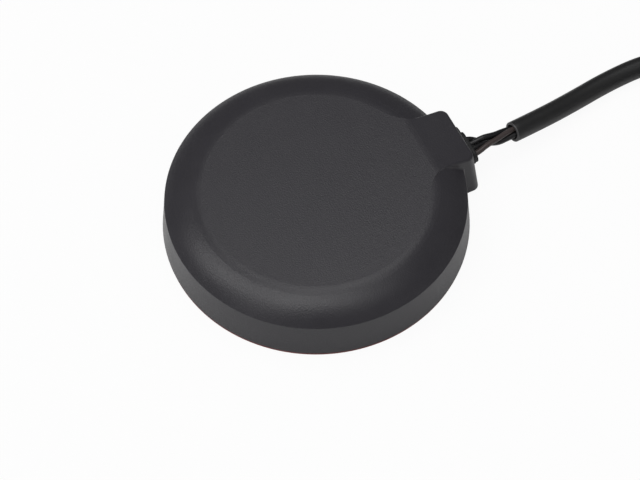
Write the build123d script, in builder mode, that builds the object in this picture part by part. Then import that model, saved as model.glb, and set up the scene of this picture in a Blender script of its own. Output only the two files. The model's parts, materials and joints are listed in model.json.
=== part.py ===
from build123d import *
from math import cos, hypot, radians, sin, sqrt, tan
import os

os.makedirs("parts", exist_ok=True)

# Round satellite-positioning antenna: a moulded puck with a four-wire lead. Millimetres, Z up.
# The origin is on the puck's axis in the plane of its underside, and the lead leaves along +X.

# Adhesive foot
liner_thickness = 0.1
pad_thickness = 0.4
pad_margin = 0.1  # from the pad's edge to the foot of the side wall

# Shell of the top cover
board_room = 1.5  # between the board's edge and the inside of the wall's foot
head_room = 0.35  # over the head of the feed pin
shoulder_drop = 2.6  # from the flat top down to the crisp rim
shoulder_width = 5.5  # from the foot of the side wall in to the flat top
side_draft = 5.1  # degrees, on the side wall and the boss
shoulder_start = 12.0  # degrees below level where the shoulder leaves the flat top
shoulder_blend = 5.0
rim_round = 0.15
inner_rim_drop = 0.55  # of the void's rim below the crisp one
wall = 1.2
roof = 1.0

# Boss that the lead leaves by, measured at the height of the rim
boss_overhang = 1.68  # of the end face past the rim
boss_width = 10.35
boss_corner = 1.2
boss_edge_round = 0.5
boss_blend = 0.4  # between the boss and the side wall
boss_wall = 1.2
boss_overlap = 4.0  # with the shell, inwards of the flat top's edge
boss_fall = 8.5  # degrees below level, on the boss's top past the flat top
boss_bend = 6.0  # radius between the level and the falling top
end_draft = 6.8  # degrees, on the end face
root_fillet = 8.0  # in plan, where the flat top runs out onto the boss
root_depth = 1.0
root_slope = 30.0  # degrees off upright
root_inset = 0.1
root_edge = 0.34  # from the root's side to the boss's rounded edge

# Base cover
base_thickness = 0.9
base_clearance = 0.15
cradle_depth = 1.6
cradle_width = 5.2

# Screws, stand-offs and posts
post_clearance = 0.842  # between the posts and the side of the patch antenna
post_angles = (60.0, 120.0, 240.0, 300.0)
post_diameter = 3.8
gusset_width = 0.9
standoff_diameter = 4.8
screw_diameter = 1.7
screw_length = 4.4  # under the head
screw_point = 0.4
screw_head_diameter = 3.0
screw_head_height = 0.7
screw_head_round = 0.25
screw_clearance = 0.15  # round the head and the shank
screw_recess_width = 0.35
screw_recess_span = 1.7
screw_recess_depth = 0.4
pilot_clearance = 0.02
pilot_spare = 0.3  # depth of the pilot hole past the screw's point
head_sink = 0.08  # of the head below the underside of the base cover

# Circuit board
board_edge = 2.7  # from the circle of the posts to the board's edge
board_thickness = 0.8

# Patch antenna
patch_size = 25.0
patch_height = 4.0
patch_corner = 0.6
tape_margin = 1.0  # from the tape's edge to the ceramic's
tape_thickness = 0.1
electrode_margin = 2.3  # from the electrode's edge to the ceramic's
electrode_thickness = 0.05
electrode_cut = 2.6  # legs of the two cut corners that turn the polarisation
feed_offset = 1.8
feed_diameter = 0.8
feed_head_diameter = 2.0
feed_head_height = 0.2
feed_tail = 0.4
feed_clearance = 0.05

# Chips: width, depth, height, and place on the board
shield_width = 13.0
shield_length = 11.0
shield_corner = 0.6
shield_sheet = 0.15
shield_gap = 0.15  # between the receiver and the sheet
shield_clearance = 0.2  # between the can and the base cover
shield_shift = -2.6  # of the can's middle along the board
standoff_gap = 0.54  # between the can and the row of stand-offs
receiver_size = (5.0, 5.0, 0.8)
receiver_shift = (-2.4, 0.4)  # from the middle of the can
crystal_size = (2.5, 2.0, 0.7)
crystal_shift = (3.0, -2.8)
filter_size = (1.4, 1.1, 0.5)
filter_shift = (3.8, 2.2)
compass_size = (3.0, 3.0, 0.9)
compass_place = (9.5, 7.0)
regulator_size = (2.9, 1.6, 1.0)
regulator_place = (-9.0, 7.0)
cell_diameter = 4.8
cell_height = 1.4
cell_round = 0.28
cell_gap = 1.3  # between the cell and the patch antenna
capacitor_size = (1.6, 0.8, 0.8)
capacitor_count = 8
capacitor_pitch = 1.3
capacitor_inset = 3.24  # of their row from the row of posts
resistor_size = (1.0, 0.5, 0.35)
resistor_count = 6
resistor_pitch = 1.1
resistor_place = (9.5, -8.0)
chip_corner = 0.12

# Wires and sleeve
lead_offset = -1.0  # of the lead's middle from the boss's middle
wire_diameter = 0.85
wire_gap = 0.1  # side by side in the strain relief
wire_straight = 0.65  # out of the strain relief before the wires bend
wire_run = 0.5  # straight out of the crimp housing, and into the strain relief
half_way = 1.85  # from the end of the straight run to the middle of the gathering
half_way_shift = (-0.22, -0.25)  # sideways and upwards
bundle_gap = 0.1
bundle_waist = 3.0  # length of the bundle in front of the sleeve
bore_room = 0.106  # of the sleeve's bore round the bundle
sleeve_wall = 0.45
mouth_depth = 1.0
mouth_spare = 0.06  # of the mouth past the wires' ends

# Board header and crimp housing
crimp_web = 0.15  # between neighbouring wires
header_gap = 1.2  # between the header and the patch antenna
header_depth = 4.2
header_height = 2.8
header_side = 1.5  # from the middle of an outer pin to the side of the header
header_back = 1.0
header_wall = 0.35
pin_side = 0.3
pin_reach = 2.2
pin_foot = 0.9
crimp_length = 4.8
crimp_play = 0.05
terminal_side = 0.56
terminal_length = 3.4
terminal_play = 0.03

# Strain relief
relief_width = 6.6
relief_height = 3.6
relief_shift = (0.5, 0.1)  # of the outer flange's middle from the wires', sideways and upwards
relief_flange = 0.45
relief_nose_width = 5.4
relief_nose_height = 2.5
relief_nose = 0.55
relief_nose_round = 0.2
relief_neck_width = 4.6
relief_neck_height = 2.0
relief_inner_width = 5.8
relief_inner_height = 3.0
relief_inner_flange = 0.6
relief_flat = 0.05  # left between the arcs of each rounded end
relief_clearance = 0.04

# Free lead: points of the sleeve's route, and the coil of the put-away length
route_out = (
    (32.6, -0.9, 4.0),
    (38.4, -0.1, 3.2),
    (44.6, 1.2, 2.1),
    (51.2, 2.4, 1.65),
    (58.0, 2.7, 1.65),
    (64.6, 1.2, 1.65),
)
coil_centre = (72.4, -15.2)
coil_diameter = 36.0  # at the middle of its turns
coil_layers = 2
coil_room = 0.1
route_tail = (
    (76.0, -32.9, 4.4),
    (70.2, -36.0, 3.8),
    (64.2, -38.1, 2.6),
    (58.6, -38.9, 1.93),
    (53.4, -39.2, 1.93),
)

# Boot and plug at the far end
boot_length = 5.0
boot_wall = 0.3  # round the sleeve
boot_overlap = 1.0
boot_end_height = 2.2
boot_end_margin = 0.6  # of the boot's end past the outer wires
boot_flat = 0.05  # left between the arcs of its rounded end
plug_pitch = 1.25
plug_side = 1.3
plug_height = 3.3
plug_length = 7.2
plug_edge = 0.25
plug_rib_width = 0.6
plug_rib_height = 0.35
plug_rib_reach = 4.2  # back from the plug's face
contact_side = 0.7
contact_play = 0.04
contact_length = 5.0
contact_bore = 0.4
contact_depth = 3.0

# What follows across the puck, from the patch antenna outwards
wires = 4
tape_size = patch_size - 2 * tape_margin
electrode_size = patch_size - 2 * electrode_margin
post_row = patch_size / 2 + post_clearance + post_diameter / 2
post_circle = 2 * post_row / sin(radians(post_angles[0]))
board_diameter = post_circle + 2 * board_edge
body_diameter = board_diameter + 2 * (board_room + wall)
flat_top_diameter = body_diameter - 2 * shoulder_width
pad_diameter = body_diameter - 2 * pad_margin

# What follows upwards, from the chips under the board to the flat top
shield_height = receiver_size[2] + shield_gap + shield_sheet
under_board = shield_height + shield_clearance
electrode_top = tape_thickness + patch_height + electrode_thickness
inner_height = under_board + board_thickness + electrode_top + feed_head_height + head_room
cover_height = base_thickness + inner_height + roof
rim_height = cover_height - shoulder_drop

# Places on the board
shield_place = (shield_shift, shield_length / 2 + standoff_gap + standoff_diameter / 2 - post_row)
receiver_place = (shield_place[0] + receiver_shift[0], shield_place[1] + receiver_shift[1])
crystal_place = (shield_place[0] + crystal_shift[0], shield_place[1] + crystal_shift[1])
filter_place = (shield_place[0] + filter_shift[0], shield_place[1] + filter_shift[1])
cell_place = (-patch_size / 2 - cell_gap - cell_diameter / 2, 0.0)
capacitor_place = (0.0, post_row - capacitor_inset)
header_start = patch_size / 2 + header_gap

# Pitches and diameters that follow from the wires
wire_pitch = wire_diameter + wire_gap
pin_pitch = wire_diameter + crimp_web
beside = (wire_diameter + bundle_gap) / 2
sleeve_bore = 2 * sqrt(2) * beside + wire_diameter + bore_room
sleeve_diameter = sleeve_bore + 2 * sleeve_wall
boot_diameter = sleeve_diameter + 2 * boot_wall

# Levels and radii
foot_z = liner_thickness + pad_thickness
rim_z = foot_z + rim_height
top_z = foot_z + cover_height
ceiling_z = top_z - roof
base_top_z = foot_z + base_thickness
board_z = base_top_z + under_board
board_top_z = board_z + board_thickness
patch_z = board_top_z + tape_thickness
electrode_z = patch_z + patch_height
lead_z = board_top_z + header_height / 2
lean = tan(radians(side_draft))
end_lean = tan(radians(end_draft))
fall = radians(shoulder_start)
body_radius = body_diameter / 2
rim_radius = body_radius - rim_height * lean
boss_reach = rim_radius + boss_overhang
flat_radius = flat_top_diameter / 2
post_points = [
    (post_circle / 2 * cos(radians(angle)), post_circle / 2 * sin(radians(angle)))
    for angle in post_angles
]


def save(piece, name):
    piece.part.label = name
    export_step(piece.part, f"parts/{name}.step")


def arc_radii(points):
    # each corner's radius is as large as the shorter of its two runs allows
    radii = []
    for before, corner, after in zip(points, points[1:], points[2:]):
        first = Vector(*corner) - Vector(*before)
        second = Vector(*after) - Vector(*corner)
        half_turn = radians(first.get_angle(second)) / 2
        radii.append(0.45 * min(first.length, second.length) / tan(half_turn))
    return radii


def cross_section(line, diameter):
    # a circle square to the start of a line
    with BuildSketch(Plane(origin=line @ 0, z_dir=line % 0)) as section:
        Circle(diameter / 2)
    return section.sketch


# Release liner
with BuildPart() as release_liner:
    with BuildSketch():
        Circle(pad_diameter / 2)
    extrude(amount=liner_thickness)
save(release_liner, "release_liner")

# Foam tape pad
with BuildPart() as adhesive_pad:
    with BuildSketch(Plane.XY.offset(liner_thickness)):
        Circle(pad_diameter / 2)
    extrude(amount=pad_thickness)
save(adhesive_pad, "adhesive_pad")


def half_width(height, inset=0.0):
    return boss_width / 2 - inset + (rim_z - height) * lean


# Void inside the round shell, which leaves out the screw posts and their gussets
inner_rim = (rim_radius - wall, rim_z - inner_rim_drop)
inner_flat_radius = flat_radius - roof * tan(fall)
pilot_depth = screw_length - (board_top_z - foot_z - head_sink - screw_head_height) + pilot_spare
boss_root = inner_flat_radius - boss_overlap

with BuildPart() as shell_void:
    with BuildSketch(Plane.XZ):
        with BuildLine():
            Polyline((0, ceiling_z), (0, foot_z), (body_radius - wall, foot_z), inner_rim)
            TangentArc((inner_flat_radius, ceiling_z), inner_rim, tangent=(cos(fall), -sin(fall)))
            Line((inner_flat_radius, ceiling_z), (0, ceiling_z))
        make_face()
    revolve(axis=Axis.Z)
    with BuildSketch(Plane.XY.offset(board_top_z)):
        with Locations(*post_points):
            Circle(post_diameter / 2)
        for angle in post_angles:
            with BuildLine():
                Line(
                    (post_circle / 2 * cos(radians(angle)), post_circle / 2 * sin(radians(angle))),
                    (body_radius * cos(radians(angle)), body_radius * sin(radians(angle))),
                )
            trace(line_width=gusset_width)
    extrude(amount=cover_height, mode=Mode.SUBTRACT)
    with BuildSketch(Plane.XY.offset(board_top_z)):
        with Locations(*post_points):
            Circle(screw_diameter / 2 + pilot_clearance)
    extrude(amount=pilot_depth)

# Void inside the boss, and the boss's own form with its drafted walls
end_plane = Plane(origin=(boss_reach, 0, rim_z), x_dir=(0, 1, 0), z_dir=(1, 0, end_lean))
falling_plane = Plane(
    origin=(flat_radius, 0, top_z), x_dir=(0, 1, 0), z_dir=(tan(radians(boss_fall)), 0, 1)
)


def where_top_bends(edge):
    return abs(edge.center().X - flat_radius) < root_inset and abs(edge.center().Z - top_z) < root_inset


def where_top_turns_down(edge):
    across = abs((edge % 0.5).Y) > 1 - root_inset
    return edge.center().X > flat_radius + boss_bend / 2 or not across


with BuildPart() as boss_void:
    with BuildSketch(Plane.YZ.offset(boss_root)):
        Polygon(
            (half_width(foot_z, boss_wall), foot_z),
            (half_width(ceiling_z, boss_wall), ceiling_z),
            (-half_width(ceiling_z, boss_wall), ceiling_z),
            (-half_width(foot_z, boss_wall), foot_z),
            align=None,
        )
    extrude(amount=boss_reach)
    split(bisect_by=end_plane.offset(-boss_wall), keep=Keep.BOTTOM)
    split(bisect_by=falling_plane.offset(-roof), keep=Keep.BOTTOM)

with BuildPart() as boss_form:
    with BuildSketch(Plane.YZ.offset(boss_root)):
        Polygon(
            (half_width(foot_z), foot_z),
            (half_width(top_z), top_z),
            (-half_width(top_z), top_z),
            (-half_width(foot_z), foot_z),
            align=None,
        )
    extrude(amount=boss_reach)
    split(bisect_by=end_plane, keep=Keep.BOTTOM)
    split(bisect_by=falling_plane, keep=Keep.BOTTOM)
    upright = boss_form.faces().sort_by(Axis.X)[-1].edges().filter_by(Axis.Y, reverse=True)
    fillet(upright, boss_corner)
    fillet(boss_form.edges().filter_by(where_top_bends), boss_bend)
    fillet(boss_form.faces().sort_by(Axis.Z)[-3:].edges().filter_by(where_top_turns_down), boss_edge_round)

# Root of the boss: the flat top runs out onto it in plan fillets
root_circle = flat_radius - shoulder_blend * tan(fall / 2) - root_inset
root_side = half_width(top_z) - boss_edge_round - root_edge
root_end = sqrt((root_circle + root_fillet) ** 2 - (root_side + root_fillet) ** 2) + root_inset

with BuildPart() as boss_foot:
    with BuildSketch(Plane.XY.offset(top_z)):
        Circle(root_circle)
        with Locations((root_end / 2, 0)):
            Rectangle(root_end, 2 * root_side)
        fillet(vertices().sort_by(Axis.X)[:2], root_fillet)
    extrude(amount=-root_depth, taper=-root_slope)
    split(bisect_by=falling_plane, keep=Keep.BOTTOM)
    fillet(boss_foot.edges().filter_by(where_top_bends), boss_bend)


def where_boss_meets_wall(edge):
    middle = edge.center()
    on_boss = abs(abs(middle.Y) - half_width(middle.Z)) < root_inset
    on_wall = abs(hypot(middle.X, middle.Y) - body_radius + (middle.Z - foot_z) * lean) < root_inset
    return middle.X > 0 and on_boss and on_wall and foot_z < middle.Z < rim_z


# Strain relief's seat: a plane on the boss's end face, square to it, at the height of the wires
relief_x = boss_reach + (rim_z - lead_z) * end_lean
relief_plane = Plane(origin=(relief_x, lead_offset, lead_z), x_dir=(0, 1, 0), z_dir=(1, 0, end_lean))

# Top cover
with BuildPart() as top_cover:
    with BuildSketch(Plane.XZ):
        with BuildLine():
            Polyline((0, top_z), (0, foot_z), (body_radius, foot_z), (rim_radius, rim_z))
            TangentArc(
                (flat_radius, top_z), (rim_radius, rim_z), tangent=(cos(fall), -sin(fall))
            )
            Line((flat_radius, top_z), (0, top_z))
        make_face()
    revolve(axis=Axis.Z)
    rings = top_cover.edges().filter_by(GeomType.CIRCLE).group_by(Axis.Z)
    fillet(rings[-1], shoulder_blend)
    rim = top_cover.edges().filter_by(GeomType.CIRCLE).sort_by(lambda ring: abs(ring.center().Z - rim_z))
    fillet(rim[0], rim_round)
    add(boss_form.part)
    fillet(top_cover.edges().filter_by(where_boss_meets_wall), boss_blend)
    add(boss_foot.part)
    add(shell_void.part, mode=Mode.SUBTRACT)
    add(boss_void.part, mode=Mode.SUBTRACT)
    with BuildSketch(relief_plane):
        RectangleRounded(
            relief_neck_width + 2 * relief_clearance,
            relief_neck_height + 2 * relief_clearance,
            relief_neck_height / 2,
        )
    extrude(amount=-2 * boss_wall, mode=Mode.SUBTRACT)
save(top_cover, "top_cover")

# Base cover: plate, tongue under the boss, cradle for the strain relief, stand-offs for the board
tongue_end = boss_reach + (rim_z - base_top_z) * end_lean - boss_wall - base_clearance
cradle_end = relief_x - boss_wall - base_clearance
cradle_top = (
    lead_z
    - (boss_wall + relief_clearance + relief_inner_flange) * end_lean
    - relief_inner_height / 2
    - relief_clearance
)

with BuildPart() as base_cover:
    with BuildSketch(Plane.XY.offset(foot_z)):
        Circle(body_radius - wall - base_clearance)
        with Locations((tongue_end / 2, 0)):
            Rectangle(tongue_end, 2 * (half_width(base_top_z, boss_wall) - base_clearance))
    extrude(amount=base_thickness)
    with BuildSketch(Plane.XY.offset(base_top_z)):
        with Locations(*post_points):
            Circle(standoff_diameter / 2)
    extrude(amount=under_board)
    with BuildSketch(Plane.XY.offset(base_top_z)):
        with Locations((cradle_end - cradle_depth / 2, lead_offset)):
            Rectangle(cradle_depth, cradle_width)
    extrude(amount=cradle_top - base_top_z)
    with Locations(*[Location((x, y, foot_z), (180, 0, 0)) for x, y in post_points]):
        CounterBoreHole(
            radius=screw_diameter / 2 + screw_clearance,
            counter_bore_radius=screw_head_diameter / 2 + screw_clearance,
            counter_bore_depth=head_sink + screw_head_height,
            depth=board_top_z - foot_z,
        )
save(base_cover, "base_cover")

# Four self-tapping screws, one node
head_z = foot_z + head_sink
with BuildPart() as cover_screws:
    with BuildSketch(Plane.XY.offset(head_z)):
        with Locations(*post_points):
            Circle(screw_head_diameter / 2)
    extrude(amount=screw_head_height)
    fillet(cover_screws.edges().group_by(Axis.Z)[0], screw_head_round)
    with BuildSketch(Plane.XY.offset(head_z + screw_head_height)):
        with Locations(*post_points):
            Circle(screw_diameter / 2)
    extrude(amount=screw_length)
    chamfer(cover_screws.edges().group_by(Axis.Z)[-1], screw_point)
    with BuildSketch(Plane.XY.offset(head_z)):
        with Locations(*post_points):
            Rectangle(screw_recess_span, screw_recess_width)
            Rectangle(screw_recess_width, screw_recess_span)
    extrude(amount=screw_recess_depth, mode=Mode.SUBTRACT)
save(cover_screws, "cover_screws")

# Circuit board
with BuildPart() as circuit_board:
    with BuildSketch(Plane.XY.offset(board_z)):
        Circle(board_diameter / 2)
        with Locations(*post_points):
            Circle(screw_diameter / 2 + screw_clearance, mode=Mode.SUBTRACT)
        with Locations((feed_offset, 0)):
            Circle(feed_diameter / 2 + feed_clearance, mode=Mode.SUBTRACT)
    extrude(amount=board_thickness)
save(circuit_board, "circuit_board")

# Tape under the patch antenna
with BuildPart() as antenna_tape:
    with BuildSketch(Plane.XY.offset(board_top_z)):
        Rectangle(tape_size, tape_size)
        with Locations((feed_offset, 0)):
            Circle(feed_diameter / 2 + feed_clearance, mode=Mode.SUBTRACT)
    extrude(amount=tape_thickness)
save(antenna_tape, "antenna_tape")

# Ceramic block of the patch antenna
with BuildPart() as ceramic_patch:
    with BuildSketch(Plane.XY.offset(patch_z)):
        RectangleRounded(patch_size, patch_size, patch_corner)
        with Locations((feed_offset, 0)):
            Circle(feed_diameter / 2 + feed_clearance, mode=Mode.SUBTRACT)
    extrude(amount=patch_height)
save(ceramic_patch, "ceramic_patch")

# Silver electrode with two opposite corners cut
with BuildPart() as patch_electrode:
    with BuildSketch(Plane.XY.offset(electrode_z)):
        Rectangle(electrode_size, electrode_size)
        corners = vertices().sort_by(lambda corner: corner.X + corner.Y)
        chamfer([corners[0], corners[-1]], electrode_cut)
        with Locations((feed_offset, 0)):
            Circle(feed_diameter / 2 + feed_clearance, mode=Mode.SUBTRACT)
    extrude(amount=electrode_thickness)
save(patch_electrode, "patch_electrode")

# Feed pin: soldered head on the electrode, shaft through the ceramic, the tape and the board
electrode_top_z = electrode_z + electrode_thickness
with BuildPart() as feed_pin:
    with BuildSketch(Plane.XZ):
        with BuildLine():
            shaft = feed_diameter / 2
            Polyline(
                (feed_offset, electrode_top_z + feed_head_height),
                (feed_offset, board_z - feed_tail),
                (feed_offset + shaft, board_z - feed_tail),
                (feed_offset + shaft, electrode_top_z),
                (feed_offset + feed_head_diameter / 2, electrode_top_z),
            )
            TangentArc(
                (feed_offset, electrode_top_z + feed_head_height),
                (feed_offset + feed_head_diameter / 2, electrode_top_z),
                tangent=(1, 0),
            )
        make_face()
    revolve(axis=Axis((feed_offset, 0, 0), (0, 0, 1)))
save(feed_pin, "feed_pin")

# Shield can over the receiver, open towards the board
with BuildPart() as shield_can:
    with BuildSketch(Plane.XY.offset(board_z)):
        with Locations(shield_place):
            RectangleRounded(shield_width, shield_length, shield_corner)
    extrude(amount=-shield_height)
    with BuildSketch(Plane.XY.offset(board_z)):
        with Locations(shield_place):
            RectangleRounded(
                shield_width - 2 * shield_sheet,
                shield_length - 2 * shield_sheet,
                shield_corner - shield_sheet,
            )
    extrude(amount=-(shield_height - shield_sheet), mode=Mode.SUBTRACT)
save(shield_can, "shield_can")

# Chips that hang from the underside of the board
for name, size, place in (
    ("receiver_chip", receiver_size, receiver_place),
    ("crystal_oscillator", crystal_size, crystal_place),
    ("input_filter", filter_size, filter_place),
    ("compass_chip", compass_size, compass_place),
    ("voltage_regulator", regulator_size, regulator_place),
):
    with BuildPart() as chip:
        with BuildSketch(Plane.XY.offset(board_z)):
            with Locations(place):
                RectangleRounded(size[0], size[1], chip_corner)
        extrude(amount=-size[2])
    save(chip, name)

# Rows of chip capacitors and chip resistors, each one node
for name, size, count, pitch, place in (
    ("chip_capacitors", capacitor_size, capacitor_count, capacitor_pitch, capacitor_place),
    ("chip_resistors", resistor_size, resistor_count, resistor_pitch, resistor_place),
):
    with BuildPart() as passives:
        with BuildSketch(Plane.XY.offset(board_z)):
            with Locations(place):
                with GridLocations(pitch, 1, count, 1):
                    Rectangle(size[1], size[0])
        extrude(amount=-size[2])
    save(passives, name)

# Backup cell on the upper side of the board
with BuildPart() as backup_cell:
    with BuildSketch(Plane.XY.offset(board_top_z)):
        with Locations(cell_place):
            Circle(cell_diameter / 2)
    extrude(amount=cell_height)
    fillet(backup_cell.edges().group_by(Axis.Z)[-1], cell_round)
save(backup_cell, "backup_cell")

# Board header: a shroud that is open towards the lead
row_width = (wires - 1) * pin_pitch
header_width = row_width + 2 * header_side
header_middle = header_start + header_depth / 2
crimp_width = header_width - 2 * header_wall - 2 * crimp_play
crimp_height = header_height - 2 * header_wall - 2 * crimp_play
crimp_start = header_start + header_back + crimp_play

with BuildPart() as board_header:
    with BuildSketch(Plane.XY.offset(board_top_z)):
        with Locations((header_middle, lead_offset)):
            Rectangle(header_depth, header_width)
    extrude(amount=header_height)
    with BuildSketch(Plane.YZ.offset(header_start + header_back)):
        with Locations((lead_offset, lead_z)):
            Rectangle(crimp_width + 2 * crimp_play, crimp_height + 2 * crimp_play)
    extrude(amount=header_depth, mode=Mode.SUBTRACT)
    with BuildSketch(Plane.YZ.offset(header_start)):
        with Locations((lead_offset, lead_z)):
            with GridLocations(pin_pitch, 1, wires, 1):
                Rectangle(pin_side, pin_side)
    extrude(amount=header_back, mode=Mode.SUBTRACT)
save(board_header, "board_header")

# Header pins: a straight arm through the back wall, bent down to a foot on the board
with BuildPart() as pin_form:
    with BuildSketch(Plane.XZ):
        with BuildLine():
            back = header_start - pin_side
            Polyline(
                (back, lead_z + pin_side / 2),
                (header_start + header_back + pin_reach, lead_z + pin_side / 2),
                (header_start + header_back + pin_reach, lead_z - pin_side / 2),
                (header_start, lead_z - pin_side / 2),
                (header_start, board_top_z),
                (header_start - pin_foot, board_top_z),
                (header_start - pin_foot, board_top_z + pin_side),
                (back, board_top_z + pin_side),
                close=True,
            )
        make_face()
    extrude(amount=pin_side / 2, both=True)

with BuildPart() as header_pins:
    with Locations((0, lead_offset, 0)):
        with GridLocations(1, pin_pitch, 1, wires):
            add(pin_form.part)
save(header_pins, "header_pins")

# Crimp housing, with a square chamber for each terminal and a round way in for each wire
terminal_start = crimp_start + crimp_play
wire_start = terminal_start + terminal_length
crimp_end = crimp_start + crimp_length
with BuildPart() as crimp_housing:
    with BuildSketch(Plane.YZ.offset(crimp_start)):
        with Locations((lead_offset, lead_z)):
            Rectangle(crimp_width, crimp_height)
    extrude(amount=crimp_length)
    with BuildSketch(Plane.YZ.offset(crimp_start)):
        with Locations((lead_offset, lead_z)):
            with GridLocations(pin_pitch, 1, wires, 1):
                Rectangle(terminal_side + 2 * terminal_play, terminal_side + 2 * terminal_play)
    extrude(amount=wire_start - crimp_start, mode=Mode.SUBTRACT)
    with BuildSketch(Plane.YZ.offset(wire_start)):
        with Locations((lead_offset, lead_z)):
            with GridLocations(pin_pitch, 1, wires, 1):
                Circle(wire_diameter / 2 + terminal_play)
    extrude(amount=crimp_end - wire_start, mode=Mode.SUBTRACT)
save(crimp_housing, "crimp_housing")

# Crimp terminals: square tubes that take the pins
with BuildPart() as crimp_terminals:
    with BuildSketch(Plane.YZ.offset(terminal_start)):
        with Locations((lead_offset, lead_z)):
            with GridLocations(pin_pitch, 1, wires, 1):
                Rectangle(terminal_side, terminal_side)
    extrude(amount=terminal_length)
    with BuildSketch(Plane.YZ.offset(terminal_start)):
        with Locations((lead_offset, lead_z)):
            with GridLocations(pin_pitch, 1, wires, 1):
                Rectangle(pin_side + terminal_play, pin_side + terminal_play)
    extrude(amount=pin_reach + crimp_play, mode=Mode.SUBTRACT)
save(crimp_terminals, "crimp_terminals")

# Strain relief: inner flange, neck through the boss's end wall, outer flange, stepped nose
with BuildPart() as strain_relief:
    with BuildSketch(relief_plane.offset(relief_clearance)):
        with Locations(relief_shift):
            RectangleRounded(relief_width, relief_height, relief_height / 2 - relief_flat)
    extrude(amount=relief_flange)
    with BuildSketch(relief_plane.offset(relief_clearance + relief_flange)):
        RectangleRounded(relief_nose_width, relief_nose_height, relief_nose_height / 2 - relief_flat)
    extrude(amount=relief_nose)
    fillet(strain_relief.faces().sort_by(Axis.X)[-1].edges(), relief_nose_round)
    with BuildSketch(relief_plane.offset(relief_clearance)):
        RectangleRounded(relief_neck_width, relief_neck_height, relief_neck_height / 2 - relief_flat)
    extrude(amount=-(boss_wall + 2 * relief_clearance))
    with BuildSketch(relief_plane.offset(-boss_wall - relief_clearance)):
        RectangleRounded(relief_inner_width, relief_inner_height, relief_inner_height / 2 - relief_flat)
    extrude(amount=-relief_inner_flange)
    with BuildSketch(Plane.YZ.offset(relief_x - 2 * boss_wall - relief_height)):
        with Locations((lead_offset, lead_z)):
            with GridLocations(wire_pitch, 1, wires, 1):
                Circle(wire_diameter / 2 + relief_clearance)
    extrude(amount=4 * boss_wall + 2 * relief_height, mode=Mode.SUBTRACT)
save(strain_relief, "strain_relief")

# Four wires: side by side in the strain relief, then two above two, and an eighth of a turn
# further round at the sleeve's mouth
mouth = Vector(*route_out[0])
along = (Vector(*route_out[1]) - mouth).normalized()
sideways = Vector(0, 0, 1).cross(along).normalized()
upwards = along.cross(sideways)
turned = sqrt(2) * beside
gather = (
    # sideways and upwards half way to the bundle, in its waist and in the sleeve's mouth
    ((-1.16, 0.32), (-beside, beside), (0, turned)),
    ((-0.48, -0.36), (-beside, -beside), (-turned, 0)),
    ((0.48, -0.36), (beside, -beside), (0, -turned)),
    ((1.16, 0.32), (beside, beside), (turned, 0)),
)
wire_out = relief_x + relief_flange + relief_nose + wire_straight
for number, (half, waist, end) in enumerate(gather):
    place = number - (wires - 1) / 2
    board_y = lead_offset + place * pin_pitch
    out_y = lead_offset + place * wire_pitch
    points = [
        (wire_start, board_y, lead_z),
        (crimp_end + wire_run, board_y, lead_z),
        (relief_x - boss_wall - relief_inner_flange - wire_run, out_y, lead_z),
        (wire_out, out_y, lead_z),
        (
            wire_out + half_way,
            lead_offset + half_way_shift[0] + half[0],
            lead_z + half_way_shift[1] + half[1],
        ),
        tuple(mouth - along * bundle_waist + sideways * waist[0] + upwards * waist[1]),
        tuple(mouth + along * (mouth_depth - mouth_spare) + sideways * end[0] + upwards * end[1]),
    ]
    with BuildPart() as wire:
        with BuildLine() as wire_path:
            FilletPolyline(*points, radius=arc_radii(points))
        sweep(sections=cross_section(wire_path.line, wire_diameter))
    print("wire", number + 1, "arc radii", [round(radius, 1) for radius in arc_radii(points)])
    save(wire, f"wire_{number + 1}")

# Coil: the closed outer shape of the turns, one above the other
coil_width = sleeve_diameter + 2 * coil_room
coil_height = coil_layers * sleeve_diameter + coil_room
with BuildPart() as lead_coil:
    with BuildSketch(Plane(origin=(*coil_centre, 0), x_dir=(1, 0, 0), z_dir=(0, -1, 0))):
        with Locations((coil_diameter / 2, coil_height / 2)):
            RectangleRounded(coil_width, coil_height, sleeve_diameter / 2 - coil_room)
    revolve(axis=Axis((*coil_centre, 0), (0, 0, 1)))
save(lead_coil, "lead_coil")

# Sleeve from its mouth to the coil, cut to the coil's surface
with BuildPart() as lead_sleeve:
    with BuildLine() as sleeve_path:
        FilletPolyline(*route_out, radius=arc_radii(route_out))
    sweep(sections=cross_section(sleeve_path.line, sleeve_diameter))
    with BuildSketch(Plane(origin=mouth, z_dir=along)):
        Circle(sleeve_bore / 2)
    extrude(amount=mouth_depth, mode=Mode.SUBTRACT)
    add(lead_coil.part, mode=Mode.SUBTRACT)
print("sleeve arc radii", [round(radius, 1) for radius in arc_radii(route_out)])
save(lead_sleeve, "lead_sleeve")

# Tail from the coil to the boot
with BuildPart() as lead_tail:
    with BuildLine() as tail_path:
        FilletPolyline(*route_tail, radius=arc_radii(route_tail))
    sweep(sections=cross_section(tail_path.line, sleeve_diameter))
    add(lead_coil.part, mode=Mode.SUBTRACT)
print("tail arc radii", [round(radius, 1) for radius in arc_radii(route_tail)])
for name, path in (("sleeve", sleeve_path), ("tail", tail_path)):
    print(name, "length", round(sum(edge.length for edge in path.edges()), 1))
save(lead_tail, "lead_tail")

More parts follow.
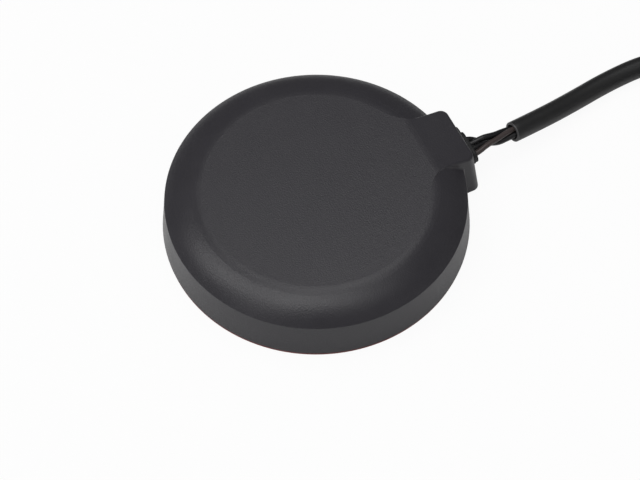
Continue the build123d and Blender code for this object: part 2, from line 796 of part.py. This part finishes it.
# Boot over the sleeve's end, round at the sleeve and flat at the plug
tail_end = Vector(*route_tail[-1])
tail_way = (tail_end - Vector(*route_tail[-2])).normalized()
boot_plane = Plane(
    origin=tail_end - tail_way * boot_overlap, x_dir=tail_way.cross(Vector(0, 0, 1)), z_dir=tail_way
)
boot_end_width = (wires - 1) * plug_pitch + 2 * boot_end_margin
with BuildPart() as plug_boot:
    with BuildSketch(boot_plane):
        Circle(boot_diameter / 2)
    extrude(amount=boot_overlap)
    with BuildSketch(boot_plane.offset(boot_overlap)):
        Circle(boot_diameter / 2)
    with BuildSketch(boot_plane.offset(boot_length)):
        RectangleRounded(boot_end_width, boot_end_height, boot_end_height / 2 - boot_flat)
    loft()
    with BuildSketch(boot_plane):
        Circle(sleeve_diameter / 2)
    extrude(amount=boot_overlap, mode=Mode.SUBTRACT)
save(plug_boot, "plug_boot")

# Plug housing: block with a chamber for each contact and two ribs on top that key it
plug_plane = boot_plane.offset(boot_length)
plug_width = (wires - 1) * plug_pitch + 2 * plug_side
with BuildPart() as plug_housing:
    with BuildSketch(plug_plane):
        RectangleRounded(plug_width, plug_height, plug_edge)
    extrude(amount=plug_length)
    with BuildSketch(plug_plane.offset(plug_length)):
        with Locations((0, -plug_height / 2)):
            with GridLocations((wires - 1) * plug_pitch, 1, 2, 1):
                Rectangle(plug_rib_width, 2 * plug_rib_height)
    extrude(amount=-plug_rib_reach)
    with BuildSketch(plug_plane.offset(plug_length - contact_length)):
        with GridLocations(plug_pitch, 1, wires, 1):
            Rectangle(contact_side + 2 * contact_play, contact_side + 2 * contact_play)
    extrude(amount=contact_length, mode=Mode.SUBTRACT)
save(plug_housing, "plug_housing")

# Contacts: square tubes set just inside the plug's face
contact_set = plug_plane.offset(plug_length - contact_length)
with BuildPart() as plug_contacts:
    with BuildSketch(contact_set):
        with GridLocations(plug_pitch, 1, wires, 1):
            Rectangle(contact_side, contact_side)
    extrude(amount=contact_length - plug_edge)
    with BuildSketch(contact_set.offset(contact_length - plug_edge)):
        with GridLocations(plug_pitch, 1, wires, 1):
            Rectangle(contact_bore, contact_bore)
    extrude(amount=-contact_depth, mode=Mode.SUBTRACT)
save(plug_contacts, "plug_contacts")
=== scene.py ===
import bmesh
import bpy
import json
import math
from mathutils import Matrix, Vector


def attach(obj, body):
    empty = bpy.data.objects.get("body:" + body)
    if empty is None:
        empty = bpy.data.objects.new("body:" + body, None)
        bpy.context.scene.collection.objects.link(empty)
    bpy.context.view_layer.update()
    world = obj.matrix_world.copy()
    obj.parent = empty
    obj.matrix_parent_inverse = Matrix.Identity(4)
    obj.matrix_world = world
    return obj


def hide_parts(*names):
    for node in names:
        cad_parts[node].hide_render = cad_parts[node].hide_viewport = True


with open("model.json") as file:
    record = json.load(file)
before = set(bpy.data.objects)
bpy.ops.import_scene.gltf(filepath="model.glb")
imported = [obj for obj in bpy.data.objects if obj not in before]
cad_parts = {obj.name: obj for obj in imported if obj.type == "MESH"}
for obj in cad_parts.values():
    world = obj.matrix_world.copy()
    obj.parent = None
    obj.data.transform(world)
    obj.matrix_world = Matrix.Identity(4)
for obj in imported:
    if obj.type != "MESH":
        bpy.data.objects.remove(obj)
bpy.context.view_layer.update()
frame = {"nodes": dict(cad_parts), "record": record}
nodes = frame["nodes"]
mm = 0.001  # lengths below are in millimetres, angles in degrees
print("frame loaded with", len(nodes), "nodes")


def finishedMesh(name, bm):
    mesh = bpy.data.meshes.new(name)
    bm.normal_update()
    bm.to_mesh(mesh)
    bm.free()
    piece = bpy.data.objects.new(name, mesh)
    bpy.context.scene.collection.objects.link(piece)
    return piece


# Camera

view = {
    "lens": 140.6,
    "sensorWidth": 36,
    "place": (-87.45, -182.53, 315.8),
    "aim": (-0.91, -3.15, 0.0),
    "roll": -0.307,
}


def addCamera():
    place, aim = Vector(view["place"]) * mm, Vector(view["aim"]) * mm
    forward = (aim - place).normalized()
    right = forward.cross(Vector((0, 0, 1))).normalized()
    up = right.cross(forward)
    roll = math.radians(view["roll"])
    across = right * math.cos(roll) + up * math.sin(roll)
    upwards = up * math.cos(roll) - right * math.sin(roll)
    turned = Matrix((across, upwards, -forward)).transposed().to_4x4()
    data = bpy.data.cameras.new("camera")
    data.lens = view["lens"]
    data.sensor_width = view["sensorWidth"]
    camera = bpy.data.objects.new("camera", data)
    camera.matrix_world = Matrix.Translation(place) @ turned
    bpy.context.scene.collection.objects.link(camera)
    bpy.context.scene.camera = camera


addCamera()
print("camera in place")


# Nodes of a material

usualNoise = (0.3, 0.7)  # a noise stays mostly between these


def addNode(tree, kind, inputs=None, **settings):
    node = tree.nodes.new(kind)
    for name, value in settings.items():
        setattr(node, name, value)
    for name, value in (inputs or {}).items():
        if isinstance(value, bpy.types.NodeSocket):
            tree.links.new(value, node.inputs[name])
        else:
            node.inputs[name].default_value = value
    return node


def newMaterial(name):
    material = bpy.data.materials.new(name)
    material.use_nodes = True
    tree = material.node_tree
    tree.nodes.clear()
    shader = addNode(tree, "ShaderNodeBsdfPrincipled")
    output = addNode(tree, "ShaderNodeOutputMaterial")
    tree.links.new(shader.outputs["BSDF"], output.inputs["Surface"])
    place = addNode(tree, "ShaderNodeTexCoord").outputs["Object"]
    return material, tree, shader, place


def noise(tree, place, grain, detail=2.0, roughness=0.5):
    # grain is the size of one spot
    return addNode(
        tree,
        "ShaderNodeTexNoise",
        {"Vector": place, "Scale": 1 / (grain * mm), "Detail": detail, "Roughness": roughness},
    ).outputs["Fac"]


def between(tree, value, low, high):
    lowNoise, highNoise = usualNoise
    inputs = {"Value": value, "From Min": lowNoise, "From Max": highNoise, "To Min": low, "To Max": high}
    return addNode(tree, "ShaderNodeMapRange", inputs).outputs["Result"]


def mixColour(tree, factor, one, other):
    # sockets 6 and 7, and 2 among the outputs, are the ones for colours
    mix = addNode(tree, "ShaderNodeMix", data_type="RGBA")
    tree.links.new(factor, mix.inputs["Factor"])
    for socket, colour in ((mix.inputs[6], one), (mix.inputs[7], other)):
        if isinstance(colour, bpy.types.NodeSocket):
            tree.links.new(colour, socket)
        else:
            socket.default_value = (*colour, 1)
    return mix.outputs[2]


def calculated(tree, operation, *values):
    inputs = dict(enumerate(values))
    return addNode(tree, "ShaderNodeMath", inputs, operation=operation).outputs[0]


def bump(tree, shader, height, depth, strength=1.0):
    node = addNode(tree, "ShaderNodeBump", {"Height": height, "Distance": depth * mm, "Strength": strength})
    tree.links.new(node.outputs["Normal"], shader.inputs["Normal"])


# The free lead: one smooth spline through the route, the coil and the tail

lead = {
    "diameter": 3.2,
    "bore": 2.3,
    "mouthDepth": 1.0,
    "lipRound": 0.12,
    "lipSteps": 3,  # to a quarter turn
    "routeOut": (
        (32.6, -0.9, 4.0),
        (38.4, -0.1, 3.2),
        (44.6, 1.2, 2.1),
        (51.2, 2.4, 1.65),
        (58.0, 2.7, 1.65),
        (64.6, 1.2, 1.65),
    ),
    "coilCentre": (72.4, -15.2),
    "coilRadius": 18.2,
    "coilPoints": 16,  # to a turn
    "coilStart": 96.0,  # at the first point of the coil
    "coilEnd": -417.0,
    "lowLayer": 1.63,
    "highLayer": 4.86,
    "climb": (0.66, 0.95),  # turns, from the low layer to the high one
    "routeTail": (
        (76.0, -32.9, 4.4),
        (70.2, -36.0, 3.8),
        (64.2, -38.1, 2.6),
        (58.6, -38.9, 1.93),
        (53.4, -39.2, 1.93),
    ),
    "sides": 28,
    "lineSteps": 10,  # between two points
}


def coilPoints():
    points = []
    step = 360 / lead["coilPoints"]
    turned = 0.0
    low, high = lead["climb"]
    x, y = lead["coilCentre"]
    radius = lead["coilRadius"]
    while lead["coilStart"] - turned > lead["coilEnd"]:
        angle = math.radians(lead["coilStart"] - turned)
        rise = min(max((turned / 360 - low) / (high - low), 0), 1)
        rise = rise * rise * (3 - 2 * rise)  # eased at both ends
        height = lead["lowLayer"] + rise * (lead["highLayer"] - lead["lowLayer"])
        points.append((x + radius * math.cos(angle), y + radius * math.sin(angle), height))
        turned += step
    return points


def smoothLine(name, points, steps):
    data = bpy.data.curves.new(name, "CURVE")
    data.dimensions = "3D"
    data.resolution_u = steps
    spline = data.splines.new("NURBS")
    spline.points.add(len(points) - 1)
    for point, place in zip(spline.points, points):
        point.co = (*(Vector(place) * mm), 1)
    spline.order_u = 3
    spline.use_endpoint_u = True
    curve = bpy.data.objects.new(name, data)
    bpy.context.scene.collection.objects.link(curve)
    return curve


def pointsAlong(curve):
    mesh = bpy.data.meshes.new_from_object(curve.evaluated_get(bpy.context.evaluated_depsgraph_get()))
    points = [vertex.co.copy() for vertex in mesh.vertices]
    bpy.data.meshes.remove(mesh)
    bpy.data.objects.remove(curve)
    return points


def framesAlong(points):
    # each point with two directions across the line, which turn with it and never twist
    frames = []
    side = None
    for index, point in enumerate(points):
        ahead = points[min(index + 1, len(points) - 1)] - points[max(index - 1, 0)]
        ahead.normalize()
        if side is None:
            side = ahead.cross(Vector((0, 0, 1))).normalized()
        side = (side - ahead * side.dot(ahead)).normalized()
        frames.append((point, side, ahead.cross(side)))
    return frames


def tube(name, frames, radii, sides):
    # a ring at each frame, closed at both ends; the map's v runs along the line in metres
    bm = bmesh.new()
    layer = bm.loops.layers.uv.new("along")
    rings = []
    for (centre, side, rise), radius in zip(frames, radii):
        ring = []
        for number in range(sides):
            angle = 2 * math.pi * number / sides
            ring.append(bm.verts.new(centre + (side * math.cos(angle) + rise * math.sin(angle)) * radius))
        rings.append(ring)
    distance = 0.0
    for index, (ring, ringAfter) in enumerate(zip(rings, rings[1:])):
        onward = distance + (frames[index + 1][0] - frames[index][0]).length
        for number in range(sides):
            after = (number + 1) % sides
            face = bm.faces.new((ring[number], ring[after], ringAfter[after], ringAfter[number]))
            face.smooth = True
            spots = ((number, distance), (number + 1, distance), (number + 1, onward), (number, onward))
            for loop, (across, along) in zip(face.loops, spots):
                loop[layer].uv = (across / sides, along)
        distance = onward
    for ring in (rings[0], rings[-1]):
        bm.faces.new(ring)
    bmesh.ops.recalc_face_normals(bm, faces=bm.faces)
    return finishedMesh(name, bm)


def makeLead():
    points = (*lead["routeOut"], *coilPoints(), *lead["routeTail"])
    line = pointsAlong(smoothLine("leadLine", points, lead["lineSteps"]))
    frames = framesAlong(line)
    outer, inner = lead["diameter"] / 2 * mm, lead["bore"] / 2 * mm
    mouth, side, rise = frames[0]
    ahead = (line[1] - line[0]).normalized()
    lipRound = lead["lipRound"] * mm
    quarter = [math.radians(90 / lead["lipSteps"] * step) for step in range(lead["lipSteps"] + 1)]
    lip = [(lead["mouthDepth"] * mm, inner), (lipRound, inner)]  # out of the bore, then over the rounded lip
    for angle in quarter[1:]:
        lip.append((lipRound * (1 - math.sin(angle)), inner + lipRound * (1 - math.cos(angle))))
    for angle in reversed(quarter[:-1]):
        lip.append((lipRound * (1 - math.sin(angle)), outer - lipRound * (1 - math.cos(angle))))
    places = [(mouth + ahead * depth, side, rise) for depth, radius in lip] + frames[1:]
    radii = [radius for depth, radius in lip] + [outer] * (len(frames) - 1)
    cord = tube("leadCord", places, radii, lead["sides"])
    length = sum((b - a).length for a, b in zip(line, line[1:]))
    print("lead spline", round(length * 1000, 1), "mm in", len(line), "points")
    return cord, line, length


leadCord, leadLine, leadLength = makeLead()


# Geometry Nodes: a tree with named inputs makes a plain mesh

socketKinds = {
    "float": "NodeSocketFloat",
    "int": "NodeSocketInt",
    "line": "NodeSocketObject",
    "vector": "NodeSocketVector",
    "finish": "NodeSocketMaterial",
}


def newTree(name, inputs):
    tree = bpy.data.node_groups.new(name, "GeometryNodeTree")
    tree.interface.new_socket("Geometry", in_out="OUTPUT", socket_type="NodeSocketGeometry")
    for label, kind in inputs.items():
        tree.interface.new_socket(label, in_out="INPUT", socket_type=socketKinds[kind])
    given = tree.nodes.new("NodeGroupInput").outputs
    return tree, given


def endTree(tree, given, shape):
    # every tree ends the same way: real geometry, in its finish
    real = addNode(tree, "GeometryNodeRealizeInstances", {"Geometry": shape})
    dressed = addNode(
        tree, "GeometryNodeSetMaterial", {"Geometry": real.outputs["Geometry"], "Material": given["Finish"]}
    )
    output = tree.nodes.new("NodeGroupOutput")
    tree.links.new(dressed.outputs["Geometry"], output.inputs["Geometry"])


def grown(name, tree, values):
    # runs the tree and keeps what it makes as a plain mesh
    piece = bpy.data.objects.new(name, bpy.data.meshes.new(name))
    bpy.context.scene.collection.objects.link(piece)
    modifier = piece.modifiers.new("tree", "NODES")
    modifier.node_group = tree
    for socket in tree.interface.items_tree:
        if socket.in_out == "INPUT":
            modifier[socket.identifier] = values[socket.name]
    evaluated = piece.evaluated_get(bpy.context.evaluated_depsgraph_get())
    mesh = bpy.data.meshes.new_from_object(evaluated)
    piece.modifiers.remove(modifier)
    empty = piece.data
    piece.data = mesh
    bpy.data.meshes.remove(empty)
    mesh.name = name
    return piece


def sweptTree():
    # a round tube along a line, closed at both ends
    tree, given = newTree("sweptTube", {"Line": "line", "Radius": "float", "Sides": "int", "Finish": "finish"})
    line = addNode(tree, "GeometryNodeObjectInfo", {"Object": given["Line"]}, transform_space="ORIGINAL")
    ring = addNode(
        tree, "GeometryNodeCurvePrimitiveCircle", {"Resolution": given["Sides"], "Radius": given["Radius"]}
    )
    tube = addNode(
        tree,
        "GeometryNodeCurveToMesh",
        {"Curve": line.outputs["Geometry"], "Profile Curve": ring.outputs["Curve"], "Fill Caps": True},
    )
    smooth = addNode(tree, "GeometryNodeSetShadeSmooth", {"Geometry": tube.outputs["Mesh"], "Shade Smooth": True})
    endTree(tree, given, smooth.outputs["Geometry"])
    return tree


# The four wires: side by side in the strain relief, in two layers half way, and in a square that
# turns as it goes into the sleeve

wires = {
    "diameter": 0.85,
    "sides": 24,
    "lineSteps": 8,  # between two points
    "level": 4.9,
    "offset": -1.0,
    "crimpPitch": 1.0,
    "reliefPitch": 0.95,
    "crimpRun": (18.2, 20.1),
    "reliefRun": (21.9, 24.8, 25.9),
    "halfWay": 27.75,
    "half": ((-1.93, 5.19), (-1.08, 4.55), (-0.49, 5.28), (-0.32, 3.77)),
    # distance past the sleeve's mouth, angle turned and shift to the far side
    "bundle": ((-3.0, 0, 0.19), (-1.5, 23, 0.16), (0.94, 46, 0.0)),
    "bundleStart": (129, 219, 39, -51),  # angle of each wire round the bundle
    "beside": 0.475,  # half the side of the square
}


def wirePoints(number):
    place = number - (len(wires["half"]) - 1) / 2
    inCrimp = wires["offset"] + place * wires["crimpPitch"]
    inRelief = wires["offset"] + place * wires["reliefPitch"]
    points = [(x, inCrimp, wires["level"]) for x in wires["crimpRun"]]
    points += [(x, inRelief, wires["level"]) for x in wires["reliefRun"]]
    points.append((wires["halfWay"], *wires["half"][number]))
    mouth = Vector(lead["routeOut"][0])
    ahead = (Vector(lead["routeOut"][1]) - mouth).normalized()
    across = Vector((0, 0, 1)).cross(ahead).normalized()
    rise = ahead.cross(across)
    reach = wires["beside"] * math.sqrt(2)
    for distance, turned, aside in wires["bundle"]:
        angle = math.radians(wires["bundleStart"][number] - turned)
        middle = mouth + ahead * distance + across * aside
        points.append(tuple(middle + (across * math.cos(angle) + rise * math.sin(angle)) * reach))
    return points


def makeWires():
    tree = sweptTree()
    pieces = []
    for number in range(len(wires["half"])):
        line = smoothLine(f"wireLine{number + 1}", wirePoints(number), wires["lineSteps"])
        finish = finishes["wire_brown" if number == 0 else "wire_black"]
        values = {"Line": line, "Radius": wires["diameter"] / 2 * mm, "Sides": wires["sides"], "Finish": finish}
        pieces.append(grown(f"leadWire{number + 1}", tree, values))
        bpy.data.objects.remove(line)
    return pieces


# Tinned end caps of the chip capacitors and resistors, in rows under the board

chipRows = {
    "capacitorCaps": {
        "count": 8,
        "pitch": 1.3,
        "middle": (0.0, 12.0),
        "length": 1.6,  # of a chip, from end to end
        "cap": (0.84, 0.36, 0.81),
        "proud": 0.02,  # how far a cap stands out past the chip's end
        "top": 2.69,  # just under the board
    },
    "resistorCaps": {
        "count": 6,
        "pitch": 1.1,
        "middle": (9.5, -8.0),
        "length": 1.0,
        "cap": (0.54, 0.24, 0.36),
        "proud": 0.02,
        "top": 2.69,
    },
}


def capTree():
    # two rows of caps, one at each end of the chips
    tree, given = newTree(
        "endCaps",
        {
            "Count": "int",
            "First": "vector",
            "Opposite": "vector",
            "Step": "vector",
            "Cap": "vector",
            "Finish": "finish",
        },
    )
    cap = addNode(tree, "GeometryNodeMeshCube", {"Size": given["Cap"]})
    both = addNode(tree, "GeometryNodeJoinGeometry")
    for corner in ("First", "Opposite"):
        row = addNode(
            tree,
            "GeometryNodeMeshLine",
            {"Count": given["Count"], "Start Location": given[corner], "Offset": given["Step"]},
        )
        caps = addNode(
            tree, "GeometryNodeInstanceOnPoints", {"Points": row.outputs["Mesh"], "Instance": cap.outputs["Mesh"]}
        )
        tree.links.new(caps.outputs["Instances"], both.inputs["Geometry"])
    endTree(tree, given, both.outputs["Geometry"])
    return tree


def makeCaps():
    tree = capTree()
    pieces = []
    for name, row in chipRows.items():
        wide, long, high = row["cap"]
        x = row["middle"][0] - (row["count"] - 1) / 2 * row["pitch"]
        z = row["top"] - high / 2
        reach = row["length"] / 2 + row["proud"] - long / 2
        near, far = row["middle"][1] - reach, row["middle"][1] + reach
        values = {
            "Count": row["count"],
            "First": Vector((x, near, z)) * mm,
            "Opposite": Vector((x, far, z)) * mm,
            "Step": Vector((row["pitch"], 0, 0)) * mm,
            "Cap": Vector((wide, long, high)) * mm,
            "Finish": finishes["terminal_tin"],
        }
        pieces.append(grown(name, tree, values))
    return pieces


# Finishes

cover = {
    "dark": (0.0335, 0.0320, 0.0370),
    "light": (0.0392, 0.0374, 0.0430),
    "roughness": (0.28, 0.34),
    "specular": 0.35,
    "cloud": 6.0,
    "cloudDetail": 3.0,
    "grain": 0.22,
    "grainRoughness": 0.6,
    "grainDepth": 0.05,
    "grainStrength": 0.6,
}


def coverPlastic():
    material, tree, shader, place = newMaterial("coverPlastic")
    cloud = noise(tree, place, cover["cloud"], cover["cloudDetail"])
    grain = noise(tree, place, cover["grain"], roughness=cover["grainRoughness"])
    shader.inputs["Specular IOR Level"].default_value = cover["specular"]
    tree.links.new(between(tree, cloud, *cover["roughness"]), shader.inputs["Roughness"])
    tree.links.new(mixColour(tree, cloud, cover["dark"], cover["light"]), shader.inputs["Base Color"])
    bump(tree, shader, grain, cover["grainDepth"], cover["grainStrength"])
    return material


sleeve = {
    "dark": (0.0145, 0.0145, 0.015),
    "light": (0.0185, 0.0185, 0.019),
    # colour of the painted highlight on the rounded lip of the cut end
    "lipHighlightColour": (0.075, 0.074, 0.076),
    "lipHighlightBand": 0.14,  # to either side of the lip's middle
    "roughness": (0.36, 0.46),
    "cloud": 3.0,
    "grain": 0.4,
    "grainDepth": 0.01,
}


def sleeveVinyl():
    # a painted highlight on the cut end: a paler band of the map's v over the rounded lip
    material, tree, shader, place = newMaterial("sleeveVinyl")
    cloud = noise(tree, place, sleeve["cloud"])
    fine = noise(tree, place, sleeve["grain"])
    along = addNode(tree, "ShaderNodeUVMap", uv_map="along").outputs["UV"]
    onward = addNode(tree, "ShaderNodeSeparateXYZ", {0: along}).outputs["Y"]
    # painted highlight: 1 within the band over the lip, 0 elsewhere
    paintedHighlight = calculated(tree, "COMPARE", onward, lead["mouthDepth"] * mm, sleeve["lipHighlightBand"] * mm)
    skin = mixColour(tree, cloud, sleeve["dark"], sleeve["light"])
    tree.links.new(mixColour(tree, paintedHighlight, skin, sleeve["lipHighlightColour"]), shader.inputs["Base Color"])
    tree.links.new(between(tree, fine, *sleeve["roughness"]), shader.inputs["Roughness"])
    bump(tree, shader, fine, sleeve["grainDepth"])
    return material


plain = {
    "cloudTimes": 8,  # a cloud's size in grains
    "colourSpread": 0.12,
    "roughnessSpread": 0.1,
}


def plainFinish(name, colour, roughness, metallic=0.0, grain=0.3, depth=0.01):
    material, tree, shader, place = newMaterial(name)
    cloud = noise(tree, place, grain * plain["cloudTimes"])
    fine = noise(tree, place, grain)
    dark = tuple(channel * (1 - plain["colourSpread"]) for channel in colour)
    light = tuple(channel * (1 + plain["colourSpread"]) for channel in colour)
    smoother, rougher = (roughness * (1 + sign * plain["roughnessSpread"]) for sign in (-1, 1))
    tree.links.new(mixColour(tree, cloud, dark, light), shader.inputs["Base Color"])
    tree.links.new(between(tree, fine, smoother, rougher), shader.inputs["Roughness"])
    shader.inputs["Metallic"].default_value = metallic
    bump(tree, shader, fine, depth)
    return material


finishes = {
    "cover_plastic": coverPlastic(),
    "base_plastic": plainFinish("basePlastic", (0.022, 0.021, 0.023), 0.5),
    "release_liner": plainFinish("linerFilm", (0.33, 0.035, 0.03), 0.4, grain=1.2),
    "adhesive_pad": plainFinish("padFoam", (0.2, 0.07, 0.065), 0.8, grain=0.2, depth=0.04),
    "relief_rubber": plainFinish("reliefRubber", (0.011, 0.011, 0.012), 0.6, grain=0.25),
    "sleeve_vinyl": sleeveVinyl(),
    "wire_black": plainFinish("wireBlack", (0.011, 0.011, 0.012), 0.38),
    "wire_brown": plainFinish("wireBrown", (0.05, 0.038, 0.036), 0.4),
    "plug_nylon": plainFinish("plugNylon", (0.02, 0.02, 0.021), 0.5),
    "terminal_tin": plainFinish("terminalTin", (0.65, 0.65, 0.64), 0.28, 1.0, grain=0.4),
    "screw_steel": plainFinish("screwSteel", (0.55, 0.55, 0.57), 0.32, 1.0),
    "board_laminate": plainFinish("boardLaminate", (0.01, 0.07, 0.03), 0.35, grain=0.6),
    "antenna_tape": plainFinish("antennaTape", (0.6, 0.6, 0.56), 0.5, grain=0.8),
    "patch_ceramic": plainFinish("patchCeramic", (0.62, 0.5, 0.36), 0.7, grain=0.35),
    "silver_print": plainFinish("silverPrint", (0.75, 0.75, 0.73), 0.42, 1.0, grain=0.25),
    "solder": plainFinish("solderTin", (0.68, 0.68, 0.67), 0.22, 1.0, grain=0.6),
    "tinned_sheet": plainFinish("tinnedSheet", (0.66, 0.66, 0.65), 0.3, 1.0, grain=0.5),
    "chip_body": plainFinish("chipBody", (0.02, 0.02, 0.022), 0.6, grain=0.12),
    "crystal_lid": plainFinish("crystalLid", (0.66, 0.62, 0.5), 0.3, 1.0),
    "capacitor_ceramic": plainFinish("capacitorCeramic", (0.42, 0.3, 0.18), 0.5, grain=0.2),
    "cell_can": plainFinish("cellCan", (0.66, 0.66, 0.66), 0.28, 1.0, grain=0.4),
    "header_nylon": plainFinish("headerNylon", (0.72, 0.7, 0.64), 0.5),
    "pin_brass": plainFinish("pinBrass", (0.78, 0.62, 0.32), 0.25, 1.0),
}

for part in frame["record"]["subparts"]:
    node = nodes[part["node"]]
    node.data.materials.clear()
    node.data.materials.append(finishes[part["material_slot"]])
leadCord.data.materials.append(finishes["sleeve_vinyl"])
print("finishes on", len(nodes), "nodes")

leadWires = makeWires()
for number, wire in enumerate(leadWires):
    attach(wire, "root")
    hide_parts(f"wire_{number + 1}")
print("wires laid", [len(wire.data.polygons) for wire in leadWires])

for caps in makeCaps():
    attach(caps, "root")
    print(caps.name, len(caps.data.polygons), "faces")

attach(leadCord, "root")
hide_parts("lead_sleeve", "lead_coil", "lead_tail")
print("lead laid")


# Studio: white bowl, soft lamps

studio = {
    "floorRadius": 1400.0,
    "sweepRadius": 300.0,
    "sweepSteps": 8,
    "wallHeight": 900.0,
    "turnSteps": 96,
    "mergeDistance": 0.01,
    "floorColour": 0.86,
    "floorRoughness": 0.9,
    "whiteShare": 0.935,  # of plain white in what the camera sees of the floor; the rest takes the shadow
    "mirrorShare": 0.1,  # of plain white in what the object mirrors of the floor
    "mirrorGrey": 0.07,  # what it mirrors of the air, and of the floor and the wall behind it
    "mirrorFade": (22.0, 45.0),  # between these distances behind the middle
    "ambient": 0.25,
    "lampWidth": 300.0,
    "lampAway": 800.0,
    "lamps": {
        # angle to the left of the camera's side, angle up, radiance
        "front": (0, 80, 2.65),
        "left": (90, 57, 3.05),
        "leftLow": (90, 45, 1.55),
        "leftBehind": (135, 45, 0.1),
        "leftFrontLow": (45, 45, 0.9),
        "leftFront": (45, 68, 3.1),
        "rightFront": (315, 68, 1.34),
        "behind": (182, 72, 3.4),
    },
}


def bowlShape():
    bm = bmesh.new()
    floor, sweep, wall = (studio[key] * mm for key in ("floorRadius", "sweepRadius", "wallHeight"))
    profile = [(0.0, 0.0), (floor, 0.0)]
    for step in range(1, studio["sweepSteps"] + 1):
        angle = math.radians(90 * step / studio["sweepSteps"])
        profile.append((floor + sweep * math.sin(angle), sweep * (1 - math.cos(angle))))
    profile.append((floor + sweep, wall))
    spots = [bm.verts.new((x, 0, z)) for x, z in profile]
    edges = [bm.edges.new(pair) for pair in zip(spots, spots[1:])]
    turn = 2 * math.pi
    bmesh.ops.spin(bm, geom=spots + edges, axis=(0, 0, 1), angle=turn, steps=studio["turnSteps"])
    bmesh.ops.remove_doubles(bm, verts=bm.verts, dist=studio["mergeDistance"] * mm)
    bmesh.ops.recalc_face_normals(bm, faces=bm.faces)
    for face in bm.faces:
        face.smooth = True
        if face.normal.z < -0.5:  # the floor faces up
            face.normal_flip()
    return finishedMesh("studioBowl", bm)


def bowlWhite():
    # white to the camera, and darker behind the object to its gloss
    material, tree, shader, place = newMaterial("studioWhite")
    grey = studio["floorColour"]
    shader.inputs["Base Color"].default_value = (grey, grey, grey, 1)
    shader.inputs["Roughness"].default_value = studio["floorRoughness"]
    shader.inputs["Specular IOR Level"].default_value = 0.0
    seen = addNode(tree, "ShaderNodeLightPath").outputs
    backwards = (Vector(view["aim"]) - Vector(view["place"])).xy.normalized().to_3d()
    distance = addNode(
        tree, "ShaderNodeVectorMath", {0: place, 1: backwards}, operation="DOT_PRODUCT"
    ).outputs["Value"]

    def fading(beside, further):
        near, far = studio["mirrorFade"]
        inputs = {"Value": distance, "From Min": near * mm, "From Max": far * mm, "To Min": beside, "To Max": further}
        return addNode(tree, "ShaderNodeMapRange", inputs).outputs["Result"]

    mirrored = calculated(tree, "MAXIMUM", seen["Is Glossy Ray"], seen["Is Transmission Ray"])
    mirrorShare = calculated(tree, "MULTIPLY", mirrored, fading(studio["mirrorShare"], 1.0))
    cameraShare = calculated(tree, "MULTIPLY", seen["Is Camera Ray"], studio["whiteShare"])
    share = calculated(tree, "MAXIMUM", cameraShare, mirrorShare)
    strength = calculated(tree, "MAXIMUM", seen["Is Camera Ray"], fading(1.0, studio["mirrorGrey"]))
    white = addNode(tree, "ShaderNodeEmission", {"Color": (1, 1, 1, 1), "Strength": strength})
    mix = addNode(tree, "ShaderNodeMixShader", {0: share, 1: shader.outputs[0], 2: white.outputs[0]})
    output = next(node for node in tree.nodes if node.type == "OUTPUT_MATERIAL")
    tree.links.new(mix.outputs[0], output.inputs["Surface"])
    return material


def addBowl():
    bowl = bowlShape()
    bowl.data.materials.append(bowlWhite())


def addLamps():
    toCamera = math.atan2(view["place"][1] - view["aim"][1], view["place"][0] - view["aim"][0])
    width, away = studio["lampWidth"] * mm, studio["lampAway"] * mm
    for name, (left, up, radiance) in studio["lamps"].items():
        turn = toCamera - math.radians(left)
        rise = math.radians(up)
        data = bpy.data.lights.new(name, "AREA")
        data.shape = "SQUARE"
        data.size = width
        data.energy = radiance * math.pi * width * width
        lamp = bpy.data.objects.new(name, data)
        direction = Vector((math.cos(turn) * math.cos(rise), math.sin(turn) * math.cos(rise), math.sin(rise)))
        lamp.location = direction * away
        lamp.rotation_euler = (-lamp.location).to_track_quat("-Z", "Y").to_euler()
        bpy.context.scene.collection.objects.link(lamp)


def setWorld():
    world = bpy.data.worlds.new("studioAir")
    world.use_nodes = True
    tree = world.node_tree
    background = tree.nodes["Background"]
    background.inputs["Color"].default_value = (1, 1, 1, 1)
    seen = addNode(tree, "ShaderNodeLightPath").outputs
    inputs = {"Value": seen["Is Glossy Ray"], "To Min": studio["ambient"], "To Max": studio["mirrorGrey"]}
    mirrored = addNode(tree, "ShaderNodeMapRange", inputs).outputs["Result"]
    strength = calculated(tree, "MAXIMUM", mirrored, seen["Is Camera Ray"])
    tree.links.new(strength, background.inputs["Strength"])
    bpy.context.scene.world = world


addBowl()
addLamps()
setWorld()
bpy.context.scene.view_settings.view_transform = "Standard"
print("studio ready")
